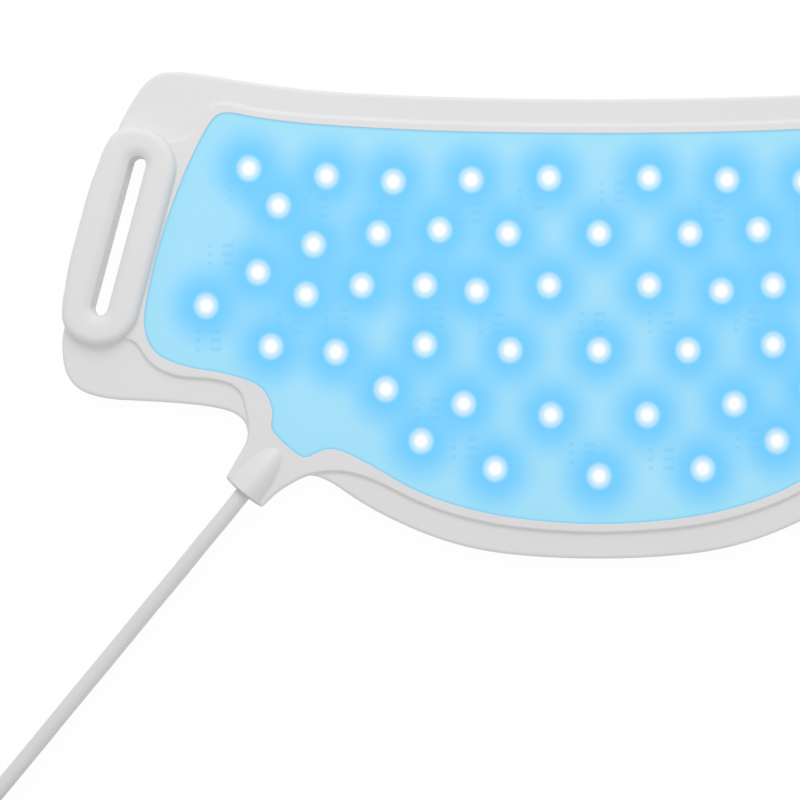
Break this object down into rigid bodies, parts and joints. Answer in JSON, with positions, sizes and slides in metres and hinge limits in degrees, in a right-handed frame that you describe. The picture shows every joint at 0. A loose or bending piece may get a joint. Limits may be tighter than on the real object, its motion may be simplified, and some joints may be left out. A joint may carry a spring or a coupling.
{
  "type": "led face mask",
  "caption": "Flat flexible silicone light panel for the neck and chin, with a lit window, two strap loops and a captive cable with a small plug.",
  "frame": {"origin": "middle of the panel's outline, on the surface that its back lies on", "axes": "+X to the right along the panel as seen from the skin side, +Y to its straighter upper edge, +Z from the back to the skin side"},
  "size_m": [0.334, 0.2734, 0.0105],
  "materials": {
    "silicone": "matte white moulded silicone",
    "window": "milky clear silicone lit blue from behind",
    "circuit": "white covered flexible circuit",
    "led_body": "white moulded package",
    "led_lens": "clear lens, lit",
    "chips": "ceramic chips with tinned ends",
    "jacket": "smooth light grey cable jacket",
    "brass": "plain brass",
    "wire": "insulated wire",
    "solder": "tinned copper",
    "tie": "woven hook and loop strap",
    "plug_plastic": "fine matte moulded grip",
    "plug_metal": "drawn steel shell",
    "plug_core": "black insulator"
  },
  "bodies": {
    "left_wing": {"back_cover_left": "silicone", "flex_circuit_left": "circuit", "led_packages_left": "led_body", "led_lenses_left": "led_lens", "resistors_left": "chips", "light_window_left": "window", "front_frame_left": "silicone", "strap_loop_left": "silicone", "cable_boot": "silicone", "cable_end": "jacket", "crimp_ring": "brass", "wire_tails": "wire", "solder_pads": "solder", "cable_run": "jacket", "cable_coil": "jacket", "coil_tie": "tie", "cable_tail": "jacket", "plug_relief": "jacket", "plug_grip": "plug_plastic", "plug_shell": "plug_metal", "plug_tongue": "plug_core"},
    "centre": {"back_cover_centre": "silicone", "flex_circuit_centre": "circuit", "led_packages_centre": "led_body", "led_lenses_centre": "led_lens", "resistors_centre": "chips", "light_window_centre": "window", "front_frame_centre": "silicone"},
    "right_wing": {"back_cover_right": "silicone", "flex_circuit_right": "circuit", "led_packages_right": "led_body", "led_lenses_right": "led_lens", "resistors_right": "chips", "light_window_right": "window", "front_frame_right": "silicone", "strap_loop_right": "silicone"}
  },
  "joints": [
    {"name": "left_bend", "type": "hinge", "parent": "left_wing", "child": "centre", "pos_m": [-0.0516, 0, 0.0038], "axis": [0, -1, 0], "range_deg": [0, 60], "stiffness_Nm_per_rad": 0.01},
    {"name": "right_bend", "type": "hinge", "parent": "centre", "child": "right_wing", "pos_m": [0.0516, 0, 0.0038], "axis": [0, -1, 0], "range_deg": [0, 60], "stiffness_Nm_per_rad": 0.01}
  ]
}
